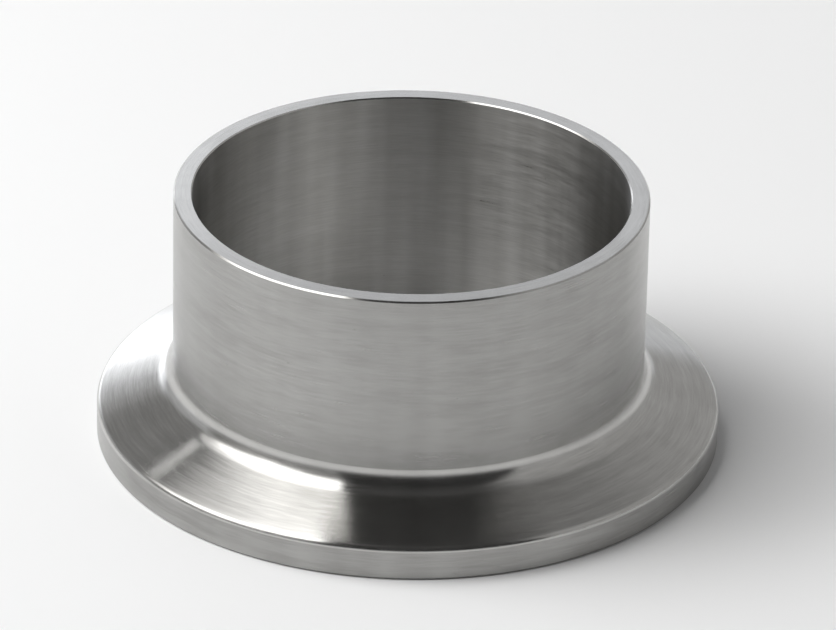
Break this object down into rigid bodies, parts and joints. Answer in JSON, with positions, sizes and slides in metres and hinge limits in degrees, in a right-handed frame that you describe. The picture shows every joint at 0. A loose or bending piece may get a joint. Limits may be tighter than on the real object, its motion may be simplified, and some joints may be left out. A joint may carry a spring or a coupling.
{
  "type": "sanitary clamp ferrule",
  "caption": "Short weld-end tube stub on a round clamp flange with a tapered back, a flat gasket face and a ring groove; joins hygienic tubing.",
  "frame": {"origin": "on the bore's axis in the plane of the gasket face, which the part stands on", "axes": "+Z along the bore's axis, from the gasket face to the weld end; X and Y are alike, because the part is turned"},
  "size_m": [0.0504, 0.0504, 0.0212],
  "materials": {
    "stainless_steel": "fine turned stainless steel with a circular satin grain"
  },
  "bodies": {
    "root": {"ferrule": "stainless_steel"}
  },
  "joints": []
}
